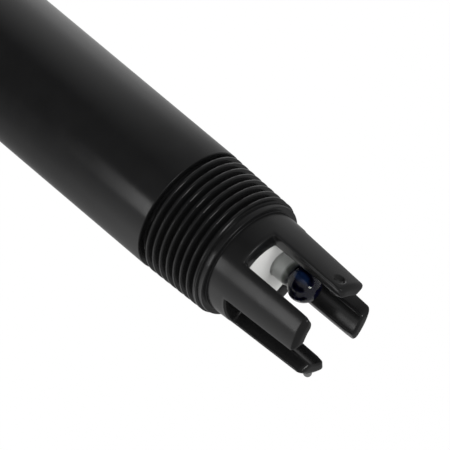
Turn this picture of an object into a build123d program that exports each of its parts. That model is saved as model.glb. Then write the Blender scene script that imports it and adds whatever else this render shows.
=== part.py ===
"""In-line combination pH electrode with a four-tine guard, standing on its rear face, tip up."""

import math
import os

from build123d import *

# Shell
body_d = 26.7  # outside of the smooth tube, as 3/4 in pipe
tube_bore = 20.0
tube_length = 105.0
tube_chamfer = 0.25

# Tapered pipe thread, at the size over its crests
thread_length = 16.6
thread_large_d = 26.6  # over the crests beside the tube
thread_taper = 1 / 16  # loss of diameter for each unit of length
land_length = 1.3  # plain land between the last crest and the collar's face
land_depth = 0.45  # how far the land lies below that crest

# Spigots that join the nose and the rear cap to the tube
spigot_length = 10.0

# Nose bore and guard
nose_bore = 17.2
throat_bore = 14.9
throat_length = 3.0
guard_length = 22.9
guard_root_d = 22.5
guard_tip_d = 20.7
guard_tip_wall = 2.55  # rim between the guard's outside and its mouth
guard_outer_round = 1.2
guard_inner_chamfer = 0.4

# Slots between the tines
slot_count = 4
slot_setback = 4.9  # from the collar's face to the slot floor
slot_width = 8.5  # across the slot at the guard's root radius
slot_draft = 10.0  # degrees, each wall leans in towards the axis
slot_overrun = 0.5  # how far the cut runs on into the bore
tine_corner_round = 1.2

# Moulding marks on the tines
gate_pit_d = 2.6
gate_pit_depth = 0.6
gate_pit_from_tip = 2.6
gate_pit_angle = 235.0  # degrees from +X
gate_nub_d = 1.7
gate_nub_from_tip = 0.9
gate_nub_angle = 45.0

# Junction disc
disc_setback = 0.1  # disc face behind the slot floor
flange_thickness = 3.6
disc_chamfer = 0.2

# Glass half cell
glass_offset = 3.6
stem_d = 5.6
stem_wall = 0.8
bulb_d = 6.9
bulb_wall = 0.3
bulb_ahead = 6.6  # bulb centre ahead of the slot floor
inner_wire_d = 0.6
inner_coat_d = 1.2
inner_coat_length = 8.0
fill_space = 7.1  # air between the solution and the stem's stopper
stopper_grip = 6.0  # both cells' stoppers
stopper_head = 2.0

# Temperature probe
probe_offset = 4.2
probe_d = 4.0
probe_wall = 0.4
probe_ahead = 8.0  # probe end ahead of the slot floor
probe_chamfer = 0.3
bead_d = 2.0
bead_length = 4.0
probe_lead_d = 0.7
probe_lead_pitch = 1.2

# Reference half cell
reference_x = 0.6
reference_y = 5.6
reference_d = 4.4
reference_wall = 0.6
reference_length = 60.0
frit_length = 3.0
reference_wire_d = 0.8
reference_wire_short = 4.0  # wire stops this far behind the frit

# Seals, each as thick as it is wide
stem_ring = 1.2
probe_ring = 1.2

# Chamber, potting and cable inlet
bulkhead_height = 48.0  # underside of the bulkhead above the rear face
bulkhead_thickness = 8.0
tail = 4.0  # how far the cells stand out behind the bulkhead
cap_length = 14.0
cap_chamfer = 0.8
cap_bore = 16.0
cap_floor = 6.0
inlet_d = 6.2
bush_wall = 1.1
bush_flange_d = 11.0
bush_flange = 2.0
cable_pocket = 6.0  # depth left for the cable's end behind the bush
lead_d = 1.2
lead_length = 22.0  # from a cell's stopper to where the cable's cores would be joined

# Clearances
joint_gap = 0.05  # cemented and pressed pieces, each side
fill_gap = 0.02  # cast or poured fillings, each side
ring_gap = 0.02  # seated seals

# Heights that follow from the sizes above
tube_foot = cap_length
shoulder = tube_foot + tube_length
collar = shoulder + thread_length
slot_floor = collar + slot_setback
tip = collar + guard_length
seat = slot_floor - throat_length
disc_back = seat - flange_thickness
disc_face = slot_floor - disc_setback
bulb_height = slot_floor + bulb_ahead
bulkhead_top = bulkhead_height + bulkhead_thickness
cell_foot = bulkhead_height - tail
nose_foot = shoulder - spigot_length
cap_top = tube_foot + spigot_length
bush_top = cap_floor + bush_flange
pocket_top = bush_top + cable_pocket
reference_top = cell_foot + reference_length
probe_top = slot_floor + probe_ahead

# Radii that follow
body_r = body_d / 2
bore_r = tube_bore / 2
spigot_r = bore_r - joint_gap
crest_r = thread_large_d / 2
thread_end_r = crest_r - thread_taper * (thread_length - land_length) / 2
land_r = thread_end_r - land_depth
guard_mouth_r = guard_tip_d / 2 - guard_tip_wall
guard_widest_r = max(guard_root_d, guard_tip_d) / 2
stem_r = stem_d / 2
stem_bore_r = stem_r - stem_wall
bulb_r = bulb_d / 2
bulb_bore_r = bulb_r - bulb_wall
probe_r = probe_d / 2
probe_bore_r = probe_r - probe_wall
reference_r = reference_d / 2
reference_bore_r = reference_r - reference_wall

# Centre lines of the two cells and the probe
glass_x = -glass_offset
probe_x = probe_offset

os.makedirs("parts", exist_ok=True)


def turned(points):
    """Solid turned about Z from an outline of radius and height pairs."""
    with BuildPart() as blank:
        with BuildSketch(Plane.XZ):
            with BuildLine():
                Polyline(*points, close=True)
            make_face()
        revolve(axis=Axis.Z)
    return blank.part


def rod(radius, low, high, x=0.0, y=0.0):
    """Upright round rod between two heights."""
    with BuildPart() as bar:
        with BuildSketch(Plane.XY.offset(low)):
            with Locations((x, y)):
                Circle(radius)
        extrude(amount=high - low)
    return bar.part


def seal_ring(inner_r, section, foot, x=0.0):
    """Square-cut rubber ring that closes on a round piece of the given radius."""
    ring_bore = inner_r + ring_gap
    with BuildPart() as ring:
        add(rod(ring_bore + section, foot, foot + section, x))
        add(rod(ring_bore, foot, foot + section, x), mode=Mode.SUBTRACT)
    return ring.part


def polar_point(radius, angle, height):
    """Point at a radius and an angle in degrees about Z."""
    turn = math.radians(angle)
    return (radius * math.cos(turn), radius * math.sin(turn), height)


def stopper(outer_r, bore_r_in, wire_r, x, y):
    """Soft stopper in the open end of a cell, with its wire's hole."""
    with BuildPart() as plug:
        add(rod(outer_r, cell_foot - stopper_head, cell_foot, x, y))
        add(rod(bore_r_in - joint_gap, cell_foot, cell_foot + stopper_grip, x, y))
        hole = rod(wire_r + fill_gap, cell_foot - stopper_head, cell_foot + stopper_grip, x, y)
        add(hole, mode=Mode.SUBTRACT)
    return plug.part


# Smooth tube
with BuildPart() as body_tube:
    add(rod(body_r, tube_foot, shoulder))
    chamfer(body_tube.edges().filter_by(GeomType.CIRCLE), tube_chamfer)
    add(rod(bore_r, tube_foot, shoulder), mode=Mode.SUBTRACT)
body_tube.part.label = "body_tube"
export_step(body_tube.part, "parts/body_tube.step")

# One slot between two tines, open at the tip, with round corners at its mouth
slot_half = slot_width / 2
slot_top = tip + tine_corner_round
slot_lean = math.radians(slot_draft)
slot_inner_x = math.sqrt(throat_bore**2 / 4 - slot_half**2) - slot_overrun
slot_outer_x = guard_widest_r + slot_overrun
slot_inner_half = slot_half - (guard_root_d / 2 - slot_inner_x) * math.tan(slot_lean)
slot_outer_half = slot_half + (slot_outer_x - guard_root_d / 2) * math.tan(slot_lean)
slot_wall = Plane(
    origin=(guard_root_d / 2, slot_half, tip),
    x_dir=(-math.sin(slot_lean), math.cos(slot_lean), 0),
    z_dir=(math.cos(slot_lean), math.sin(slot_lean), 0),
)
with BuildPart() as slot_cutter:
    with BuildSketch(slot_wall):
        with BuildLine():
            Line((-slot_overrun, -tine_corner_round), (0, -tine_corner_round))
            TangentArc((0, -tine_corner_round), (tine_corner_round, 0), tangent=(0, 1))
            Polyline(
                (tine_corner_round, 0),
                (tine_corner_round, tine_corner_round),
                (-slot_overrun, tine_corner_round),
                (-slot_overrun, -tine_corner_round),
            )
        make_face()
    extrude(amount=slot_outer_x - slot_inner_x, both=True)
    mirror(about=Plane.XZ)
    with BuildSketch(Plane.XY.offset(slot_floor)):
        with BuildLine():
            Polyline(
                (slot_inner_x, -slot_inner_half),
                (slot_outer_x, -slot_outer_half),
                (slot_outer_x, slot_outer_half),
                (slot_inner_x, slot_inner_half),
                close=True,
            )
        make_face()
    extrude(amount=slot_top - slot_floor)

# Nose: spigot, threaded collar and four-tine guard in one moulding
nose_outline = [
    (nose_bore / 2, nose_foot),
    (spigot_r, nose_foot),
    (spigot_r, shoulder),
    (crest_r, shoulder),
    (thread_end_r, collar - land_length),
    (land_r, collar - land_length),
    (land_r, collar),
    (guard_root_d / 2, collar),
    (guard_tip_d / 2, tip),
    (guard_mouth_r + guard_inner_chamfer, tip),
    (guard_mouth_r, tip - guard_inner_chamfer),
    (throat_bore / 2, slot_floor),
    (throat_bore / 2, seat),
    (nose_bore / 2, seat),
]
guard_slope = (guard_root_d - guard_tip_d) / 2 / guard_length
gate_pit_height = tip - gate_pit_from_tip
gate_pit_r = guard_tip_d / 2 + guard_slope * gate_pit_from_tip
gate_pit_plane = Plane(
    origin=polar_point(gate_pit_r - gate_pit_depth, gate_pit_angle, gate_pit_height),
    z_dir=polar_point(1, gate_pit_angle, 0),
)
gate_nub_centre = polar_point(guard_tip_d / 2, gate_nub_angle, tip - gate_nub_from_tip)

with BuildPart() as nose:
    add(turned(nose_outline))
    rims = nose.edges().filter_by(GeomType.CIRCLE).group_by(Axis.Z)[-1].sort_by(SortBy.RADIUS)
    fillet(rims[-1], guard_outer_round)
    with PolarLocations(0, slot_count):
        add(slot_cutter.part, mode=Mode.SUBTRACT)
    with BuildSketch(gate_pit_plane):
        Circle(gate_pit_d / 2)
    extrude(amount=gate_pit_d, mode=Mode.SUBTRACT)
    with Locations(gate_nub_centre):
        Sphere(gate_nub_d / 2)
nose.part.label = "nose"
export_step(nose.part, "parts/nose.step")

# Rear cap: plain end with the cable inlet, and a spigot in the tube
inlet_r = inlet_d / 2
bush_r = inlet_r + bush_wall
bush_flange_r = bush_flange_d / 2
cap_outline = [
    (bush_r + joint_gap, 0),
    (body_r - cap_chamfer, 0),
    (body_r, cap_chamfer),
    (body_r, tube_foot),
    (spigot_r, tube_foot),
    (spigot_r, cap_top),
    (cap_bore / 2, cap_top),
    (cap_bore / 2, cap_floor),
    (bush_r + joint_gap, cap_floor),
]
with BuildPart() as rear_cap:
    add(turned(cap_outline))
rear_cap.part.label = "rear_cap"
export_step(rear_cap.part, "parts/rear_cap.step")

# Bush that lines the cable inlet, its flange inside the cap
with BuildPart() as inlet_bush:
    add(rod(bush_r, 0, cap_floor))
    add(rod(bush_flange_r, cap_floor, bush_top))
    add(rod(inlet_r, 0, bush_top), mode=Mode.SUBTRACT)
inlet_bush.part.label = "inlet_bush"
export_step(inlet_bush.part, "parts/inlet_bush.step")

# Junction disc: flange in the nose bore, boss through the throat
stem_pocket_r = stem_r + stem_ring + 2 * ring_gap
stem_pocket_top = disc_back + stem_ring + 2 * ring_gap
probe_pocket_r = probe_r + probe_ring + 2 * ring_gap
probe_pocket_top = disc_back + probe_ring + 2 * ring_gap
with BuildPart() as junction_disc:
    add(rod(nose_bore / 2 - joint_gap, disc_back, seat))
    add(rod(throat_bore / 2 - joint_gap, seat, disc_face))
    chamfer(junction_disc.edges().group_by(Axis.Z)[-1], disc_chamfer)
    add(rod(stem_r + joint_gap, disc_back, disc_face, glass_x), mode=Mode.SUBTRACT)
    add(rod(stem_pocket_r, disc_back, stem_pocket_top, glass_x), mode=Mode.SUBTRACT)
    add(rod(probe_r + joint_gap, disc_back, disc_face, probe_x), mode=Mode.SUBTRACT)
    add(rod(probe_pocket_r, disc_back, probe_pocket_top, probe_x), mode=Mode.SUBTRACT)
junction_disc.part.label = "junction_disc"
export_step(junction_disc.part, "parts/junction_disc.step")

# Seals in the disc's back, on the glass stem and on the probe
stem_seal = seal_ring(stem_r, stem_ring, disc_back + ring_gap, glass_x)
stem_seal.label = "stem_seal"
export_step(stem_seal, "parts/stem_seal.step")

probe_seal = seal_ring(probe_r, probe_ring, disc_back + ring_gap, probe_x)
probe_seal.label = "probe_seal"
export_step(probe_seal, "parts/probe_seal.step")

# Glass half cell: one blown piece, thick stem and thin bulb
glass_plane = Plane(origin=(glass_x, 0, 0), x_dir=(1, 0, 0), z_dir=(0, -1, 0))
glass_axis = Axis((glass_x, 0, 0), (0, 0, 1))
neck = bulb_height - math.sqrt(bulb_r**2 - stem_r**2)
inner_neck = bulb_height - math.sqrt(bulb_bore_r**2 - stem_bore_r**2)
with BuildPart() as glass_electrode:
    with BuildSketch(glass_plane):
        with BuildLine():
            Line((stem_bore_r, cell_foot), (stem_r, cell_foot))
            Line((stem_r, cell_foot), (stem_r, neck))
            ThreePointArc((stem_r, neck), (bulb_r, bulb_height), (0, bulb_height + bulb_r))
            Line((0, bulb_height + bulb_r), (0, bulb_height + bulb_bore_r))
            ThreePointArc(
                (0, bulb_height + bulb_bore_r), (bulb_bore_r, bulb_height), (stem_bore_r, inner_neck)
            )
            Line((stem_bore_r, inner_neck), (stem_bore_r, cell_foot))
        make_face()
    revolve(axis=glass_axis)
glass_electrode.part.label = "glass_electrode"
export_step(glass_electrode.part, "parts/glass_electrode.step")

# Coated silver wire of the glass half cell
inner_wire_foot = cell_foot - stopper_head
inner_coat_top = inner_neck
inner_coat_foot = inner_coat_top - inner_coat_length
with BuildPart() as inner_electrode:
    add(rod(inner_wire_d / 2, inner_wire_foot, inner_coat_foot, glass_x))
    add(rod(inner_coat_d / 2, inner_coat_foot, inner_coat_top, glass_x))
inner_electrode.part.label = "inner_electrode"
export_step(inner_electrode.part, "parts/inner_electrode.step")

# Blue inner solution in the bulb and the lower stem, around the wire
fill_foot = cell_foot + stopper_grip + fill_space
fill_ball_r = bulb_bore_r - fill_gap
fill_stem_r = stem_bore_r - fill_gap
fill_neck = bulb_height - math.sqrt(fill_ball_r**2 - fill_stem_r**2)
with BuildPart() as bulb_fill:
    with BuildSketch(glass_plane):
        with BuildLine():
            Line((0, fill_foot), (fill_stem_r, fill_foot))
            Line((fill_stem_r, fill_foot), (fill_stem_r, fill_neck))
            ThreePointArc(
                (fill_stem_r, fill_neck), (fill_ball_r, bulb_height), (0, bulb_height + fill_ball_r)
            )
            Line((0, bulb_height + fill_ball_r), (0, fill_foot))
        make_face()
    revolve(axis=glass_axis)
    add(rod(inner_wire_d / 2 + fill_gap, fill_foot, inner_coat_foot, glass_x), mode=Mode.SUBTRACT)
    coat_hole = rod(
        inner_coat_d / 2 + fill_gap, inner_coat_foot - fill_gap, inner_coat_top + fill_gap, glass_x
    )
    add(coat_hole, mode=Mode.SUBTRACT)
bulb_fill.part.label = "bulb_fill"
export_step(bulb_fill.part, "parts/bulb_fill.step")

stem_stopper = stopper(stem_r, stem_bore_r, inner_wire_d / 2, glass_x, 0)
stem_stopper.label = "stem_stopper"
export_step(stem_stopper, "parts/stem_stopper.step")

# Temperature probe: metal sheath with a closed flat end
with BuildPart() as temperature_probe:
    add(rod(probe_r, cell_foot, probe_top, probe_x))
    chamfer(temperature_probe.edges().group_by(Axis.Z)[-1], probe_chamfer)
    add(rod(probe_bore_r, cell_foot, probe_top - probe_wall, probe_x), mode=Mode.SUBTRACT)
temperature_probe.part.label = "temperature_probe"
export_step(temperature_probe.part, "parts/temperature_probe.step")

# Sensing bead against the sheath's closed end
bead_top = probe_top - probe_wall - fill_gap
bead_foot = bead_top - bead_length
with BuildPart() as thermistor:
    add(rod(bead_d / 2, bead_foot, bead_top, probe_x))
thermistor.part.label = "thermistor"
export_step(thermistor.part, "parts/thermistor.step")

# Reference half cell: tube, porous frit, paste, wire and stopper
with BuildPart() as reference_tube:
    add(rod(reference_r, cell_foot, reference_top, reference_x, reference_y))
    bore = rod(reference_bore_r, cell_foot, reference_top, reference_x, reference_y)
    add(bore, mode=Mode.SUBTRACT)
reference_tube.part.label = "reference_tube"
export_step(reference_tube.part, "parts/reference_tube.step")

frit_foot = reference_top - frit_length
reference_frit = rod(reference_bore_r - joint_gap, frit_foot, reference_top, reference_x, reference_y)
reference_frit.label = "reference_frit"
export_step(reference_frit, "parts/reference_frit.step")

reference_wire_top = frit_foot - reference_wire_short
reference_electrode = rod(
    reference_wire_d / 2, cell_foot - stopper_head, reference_wire_top, reference_x, reference_y
)
reference_electrode.label = "reference_electrode"
export_step(reference_electrode, "parts/reference_electrode.step")

paste_foot = cell_foot + stopper_grip + fill_gap
with BuildPart() as reference_fill:
    paste_r = reference_bore_r - fill_gap
    add(rod(paste_r, paste_foot, frit_foot - fill_gap, reference_x, reference_y))
    wire_hole = rod(
        reference_wire_d / 2 + fill_gap,
        paste_foot,
        reference_wire_top + fill_gap,
        reference_x,
        reference_y,
    )
    add(wire_hole, mode=Mode.SUBTRACT)
reference_fill.part.label = "reference_fill"
export_step(reference_fill.part, "parts/reference_fill.step")

reference_stopper = stopper(
    reference_r, reference_bore_r, reference_wire_d / 2, reference_x, reference_y
)
reference_stopper.label = "reference_stopper"
export_step(reference_stopper, "parts/reference_stopper.step")

# Bulkhead that closes the gel chamber
cells = [
    (stem_r, glass_x, 0),
    (probe_r, probe_x, 0),
    (reference_r, reference_x, reference_y),
]
with BuildPart() as bulkhead:
    add(rod(bore_r - joint_gap, bulkhead_height, bulkhead_top))
    for cell_r, x, y in cells:
        add(rod(cell_r + joint_gap, bulkhead_height, bulkhead_top, x, y), mode=Mode.SUBTRACT)
bulkhead.part.label = "bulkhead"
export_step(bulkhead.part, "parts/bulkhead.step")

# Electrolyte gel between the bulkhead and the disc, round the cells
with BuildPart() as electrolyte_gel:
    add(rod(bore_r - fill_gap, bulkhead_top + fill_gap, nose_foot - fill_gap))
    add(rod(nose_bore / 2 - fill_gap, nose_foot - fill_gap, disc_back - fill_gap))
    add(rod(stem_r + fill_gap, bulkhead_top, disc_back, glass_x), mode=Mode.SUBTRACT)
    add(rod(probe_r + fill_gap, bulkhead_top, disc_back, probe_x), mode=Mode.SUBTRACT)
    reference_hole = rod(
        reference_r + fill_gap, bulkhead_top, reference_top + fill_gap, reference_x, reference_y
    )
    add(reference_hole, mode=Mode.SUBTRACT)
electrolyte_gel.part.label = "electrolyte_gel"
export_step(electrolyte_gel.part, "parts/electrolyte_gel.step")

# Leads from the cells into the resin above the inlet
lead_top = cell_foot - stopper_head
lead_foot = lead_top - lead_length
probe_lead_sides = (-probe_lead_pitch / 2, probe_lead_pitch / 2)

glass_lead = rod(lead_d / 2, lead_foot, lead_top, glass_x)
glass_lead.label = "glass_lead"
export_step(glass_lead, "parts/glass_lead.step")

reference_lead = rod(lead_d / 2, lead_foot, lead_top, reference_x, reference_y)
reference_lead.label = "reference_lead"
export_step(reference_lead, "parts/reference_lead.step")

with BuildPart() as probe_leads:
    for side in probe_lead_sides:
        add(rod(probe_lead_d / 2, lead_foot, bead_foot, probe_x, side))
probe_leads.part.label = "probe_leads"
export_step(probe_leads.part, "parts/probe_leads.step")

# Cast resin from the bulkhead down to the bush, round the cells' ends and the leads
potting_outline = [
    (0, pocket_top),
    (inlet_r, pocket_top),
    (inlet_r, bush_top + fill_gap),
    (bush_flange_r + joint_gap, bush_top + fill_gap),
    (bush_flange_r + joint_gap, cap_floor + fill_gap),
    (cap_bore / 2 - fill_gap, cap_floor + fill_gap),
    (cap_bore / 2 - fill_gap, cap_top + fill_gap),
    (bore_r - fill_gap, cap_top + fill_gap),
    (bore_r - fill_gap, bulkhead_height - fill_gap),
    (0, bulkhead_height - fill_gap),
]
leads = [(lead_d / 2, glass_x, 0), (lead_d / 2, reference_x, reference_y)]
leads += [(probe_lead_d / 2, probe_x, side) for side in probe_lead_sides]
with BuildPart() as potting:
    add(turned(potting_outline))
    for cell_r, x, y in cells:
        hole = rod(cell_r + fill_gap, lead_top - fill_gap, bulkhead_height, x, y)
        add(hole, mode=Mode.SUBTRACT)
    for lead_r, x, y in leads:
        hole = rod(lead_r + fill_gap, lead_foot - fill_gap, lead_top, x, y)
        add(hole, mode=Mode.SUBTRACT)
potting.part.label = "potting"
export_step(potting.part, "parts/potting.step")
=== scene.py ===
"""Dressed model of an in-line pH electrode: shell, threaded nose with a four-tine guard, glass bulb."""

import math

import bmesh
import bpy
from mathutils import Matrix, Vector


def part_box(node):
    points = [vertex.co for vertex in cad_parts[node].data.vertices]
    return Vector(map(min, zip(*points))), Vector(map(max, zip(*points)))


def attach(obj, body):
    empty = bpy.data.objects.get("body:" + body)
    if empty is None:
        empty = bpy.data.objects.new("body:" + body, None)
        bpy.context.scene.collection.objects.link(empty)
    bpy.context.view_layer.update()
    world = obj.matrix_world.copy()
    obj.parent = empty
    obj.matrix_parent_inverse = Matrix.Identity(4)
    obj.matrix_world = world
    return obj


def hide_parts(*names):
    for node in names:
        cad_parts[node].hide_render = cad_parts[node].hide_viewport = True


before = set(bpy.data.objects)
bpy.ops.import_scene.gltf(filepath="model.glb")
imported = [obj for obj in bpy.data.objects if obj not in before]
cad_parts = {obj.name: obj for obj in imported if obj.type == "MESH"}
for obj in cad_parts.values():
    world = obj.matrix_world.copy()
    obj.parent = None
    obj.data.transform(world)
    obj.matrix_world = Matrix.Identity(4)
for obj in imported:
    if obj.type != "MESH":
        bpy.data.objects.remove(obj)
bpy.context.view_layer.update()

bl_info = {
    "name": "In-line pH electrode",
    "version": (1, 0, 0),
    "blender": (4, 5, 0),
    "location": "3D View > Sidebar > Electrode",
    "description": "Models the pieces of an in-line pH electrode and sets up its stage",
    "category": "Add Mesh",
}

ROOT = "root"
MM_PER_M = 1000

# Mesh steps and limits
COLUMNS = 160
GLASS_COLUMNS = 96
PROBE_COLUMNS = 64
SLOT_COUNT = 4
COLUMNS_PER_SLOT = COLUMNS // SLOT_COUNT
SLOT_EDGE = COLUMNS_PER_SLOT // 4
EDGE_COLUMN = 0.18
EDGE_STEPS = 4
END_STEPS = 6
RIM_STEPS = 8
TINE_ROWS = 12
BEVEL_STEPS = 3
NECK_STEPS = 8
BALL_STEPS = 32
NUB_SEGMENTS = 40
PIT_CUTS = 5
PIT_REACH = 2.2
FACING_OUT = 0.8
DRAFT_ROUNDS = 8
MERGE_DISTANCE = 1e-7
SMOOTH_ANGLE = math.radians(50)
FLANK_ANGLE = math.radians(30)

# Finishes
NOISE_LOW, NOISE_HIGH = 0.3, 0.7
GRAIN_HEIGHT = 0.00005
CLOUD_SHARE = 12
CLOUD_DETAIL = 3.0
ROUGHNESS_CHANGE = 0.12
# Outer edge of the paler grey round the gate nub, in nub radii: torn plastic with a painted highlight
TORN_AND_HIGHLIGHT_REACH = 1.15
# Fade of the painted light on the bulb's solution, in shares of its reach
PAINTED_LIGHT_FADE = (1.3, 0.4)
GLASS_TINT = (0.93, 0.96, 0.96, 1)
GLASS_IOR = 1.47

# Stage
PICTURE_PIXELS = 450
SENSOR_WIDTH = 36.0
CLIP_END = 20.0
BAND_HEIGHT = 0.003
FLOOR_DROP = 0.0002
FLOOR_TINT = (0.85, 0.85, 0.85, 1)
FLOOR_ROUGHNESS = 0.9
GAIN_LOW, GAIN_HIGH = 0.4, 2.5

# Level of the floor in reflections, to the left and by degrees about the axis
FLOOR_LEFT = 1.3
FLOOR_LEVELS = (
    (-140, 0.88),
    (-95, 0.07),
    (-72, 0.11),
    (-35, 0.1),
    (-12, 0.4),
    (20, 0.66),
    (70, 0.35),
    (140, 0.6),
)


def low_of(node):
    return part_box(node)[0]


def high_of(node):
    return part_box(node)[1]


def middle_of(node, axis):
    return (high_of(node)[axis] + low_of(node)[axis]) / 2


def half_of(node, axis):
    return (high_of(node)[axis] - low_of(node)[axis]) / 2


# Heights and radii that the frame gives, in metres
TUBE_FOOT = low_of("body_tube")[2]
SHOULDER = high_of("body_tube")[2]
TUBE_RADIUS = -low_of("body_tube")[0]
NOSE_FOOT = low_of("nose")[2]
CREST_RADIUS = high_of("nose")[0]
CAP_TOP = high_of("rear_cap")[2]
BULB_TOP = high_of("glass_electrode")[2]
BULB_RADIUS = half_of("glass_electrode", 1)
GLASS_X = middle_of("glass_electrode", 0)
GLASS_FOOT = low_of("glass_electrode")[2]
FILL_FOOT = low_of("bulb_fill")[2]
PROBE_X = middle_of("temperature_probe", 0)
PROBE_RADIUS = half_of("temperature_probe", 0)
PROBE_TOP = high_of("temperature_probe")[2]
PROBE_FOOT = low_of("temperature_probe")[2]

SEALS = ("inlet_bush", "stem_seal", "probe_seal")

# Finish, its nodes, colour, roughness and what else differs from a plain grain
INSIDE = (
    ("seal_rubber", SEALS, (0.012, 0.012, 0.012), 0.7, {"specular": 0.3, "bump": 0.3}),
    ("stopper_rubber", ("stem_stopper", "reference_stopper"), (0.3, 0.05, 0.03), 0.6, {"bump": 0.2}),
    ("silver_wire", ("inner_electrode", "reference_electrode"), (0.45, 0.43, 0.42), 0.4, {"metallic": 1.0}),
    ("bead_ceramic", ("thermistor",), (0.05, 0.07, 0.06), 0.3, {}),
    ("frit_ceramic", ("reference_frit",), (0.7, 0.68, 0.63), 0.9, {"bump": 0.4}),
    ("white_insulation", ("glass_lead",), (0.6, 0.6, 0.58), 0.4, {}),
    ("red_insulation", ("probe_leads",), (0.3, 0.02, 0.015), 0.4, {}),
    ("black_insulation", ("reference_lead",), (0.01, 0.01, 0.01), 0.4, {}),
    ("grey_gel", ("electrolyte_gel",), (0.5, 0.52, 0.5), 0.25, {"scale": 300.0}),
    ("reference_paste", ("reference_fill",), (0.25, 0.25, 0.26), 0.7, {"bump": 0.3}),
    ("bulkhead_plastic", ("bulkhead",), (0.1, 0.1, 0.105), 0.5, {}),
    ("potting_resin", ("potting",), (0.01, 0.01, 0.011), 0.25, {"scale": 200.0}),
    ("reference_glass", ("reference_tube",), (0.6, 0.65, 0.65), 0.1, {}),
)


def number_prop(name, description, default, **kind):
    """Number that a user can change, with its unit or subtype."""
    return bpy.props.FloatProperty(name=name, description=description, default=default, **kind)


def length_prop(name, description, metres):
    return number_prop(name, description, metres, unit="LENGTH")


def angle_prop(name, description, degrees):
    return number_prop(name, description, math.radians(degrees), subtype="ANGLE")


def power_prop(name, description, watts):
    return number_prop(name, description, watts, unit="POWER")


def colour_prop(name, description, colour):
    return bpy.props.FloatVectorProperty(name=name, description=description, default=colour, subtype="COLOR")


class ThreadSizes(bpy.types.PropertyGroup):
    """Tapered pipe thread on the nose."""

    length: length_prop("Length", "Shoulder to the collar's face", 0.0166)
    pitch: length_prop("Pitch", "Crest to crest, 14 to the inch", 0.001814)
    depth: length_prop("Depth", "Crest to root, square to the axis", 0.0014)
    taper: number_prop("Taper", "Loss of radius for each unit of length", 1 / 32)
    crest_share: number_prop("Crest share", "Part of the pitch that is flat crest", 0.2)
    root_share: number_prop("Root share", "Part of the pitch that is flat root", 0.1)
    first_crest: length_prop("First crest", "First crest above the shoulder", 0.00175)
    first_angle: angle_prop("First angle", "Side of that crest", 286.9)
    relief_radius: length_prop("Relief radius", "Groove between shoulder and thread", 0.0119)
    relief_width: length_prop("Relief width", "Flat floor of that groove", 0.0004)
    land_length: length_prop("Land", "Plain land below the collar's face", 0.0013)
    land_depth: length_prop("Land depth", "Land below the last crest", 0.00045)
    land_step: length_prop("Land step", "Height of the step down to the land", 0.00012)
    land_round: length_prop("Land round", "Round of the collar's outer edge", 0.0002)
    run_out: length_prop("Run-out", "Where the groove fades below the land", 0.0008)
    rows_per_turn: bpy.props.IntProperty(
        name="Rows per turn", description="Mesh rows along one pitch", default=18, min=8
    )


class GuardSizes(bpy.types.PropertyGroup):
    """Four-tine guard of the nose, its bore and its moulding marks."""

    length: length_prop("Length", "Collar's face to the tip", 0.02289)
    root_radius: length_prop("Root radius", "Outside at the collar", 0.01125)
    tip_radius: length_prop("Tip radius", "Outside at the tip", 0.01035)
    mouth_radius: length_prop("Mouth radius", "Inside at the tip", 0.0078)
    throat_radius: length_prop("Throat radius", "Inside at the slot floor", 0.00745)
    throat_length: length_prop("Throat length", "Slot floor to the disc's seat", 0.003)
    bore_radius: length_prop("Bore radius", "Inside behind the seat", 0.0086)
    spigot_radius: length_prop("Spigot radius", "Outside of the spigot in the tube", 0.00995)
    setback: length_prop("Setback", "Collar's face to the slot floor", 0.0049)
    slot_half: length_prop("Half slot", "Half the slot at the root radius", 0.00425)
    slot_draft: angle_prop("Slot draft", "Lean of each slot wall", 10)
    corner_round: length_prop("Corner round", "Round of a tine's end corners", 0.0012)
    rim_round: length_prop("Rim round", "Round of the outer rim", 0.0012)
    mouth_round: length_prop("Mouth round", "Round of the inner rim", 0.0005)
    edge_round: length_prop("Edge round", "Width of the round on the slot edges", 0.00045)
    hold: length_prop("Hold", "Rows that hold a flat beside a round", 0.0001)
    root_fillet: length_prop("Root fillet", "Fillet between guard and collar", 0.00012)
    pit_radius: length_prop("Pit radius", "Gate pit on one tine", 0.0013)
    pit_depth: length_prop("Pit depth", "Depth of the gate pit", 0.0006)
    pit_from_tip: length_prop("Pit from tip", "Pit's centre below the tip", 0.0026)
    pit_angle: angle_prop("Pit angle", "Pit's place about the axis", 235)
    pit_blend: number_prop("Pit blend", "Share of the radius over which the wall falls", 0.45)
    nub_radius: length_prop("Nub radius", "Gate nub on the opposite tine", 0.00085)
    nub_from_tip: length_prop("Nub from tip", "Nub's centre below the tip", 0.0009)
    nub_angle: angle_prop("Nub angle", "Nub's place about the axis", 45)


class TubeSizes(bpy.types.PropertyGroup):
    """Smooth tube and rear cap."""

    bore_radius: length_prop("Bore radius", "Inside of the tube", 0.01)
    edge_round: length_prop("Edge round", "Round of the tube's end edges", 0.00022)
    cap_round: length_prop("Cap round", "Round of the cap's rear edge", 0.0008)
    cap_bore: length_prop("Cap bore", "Inside radius of the cap", 0.008)
    cap_floor: length_prop("Cap floor", "Thickness of the cap's end wall", 0.006)
    inlet_radius: length_prop("Inlet radius", "Hole in the cap for its bush", 0.00425)


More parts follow.
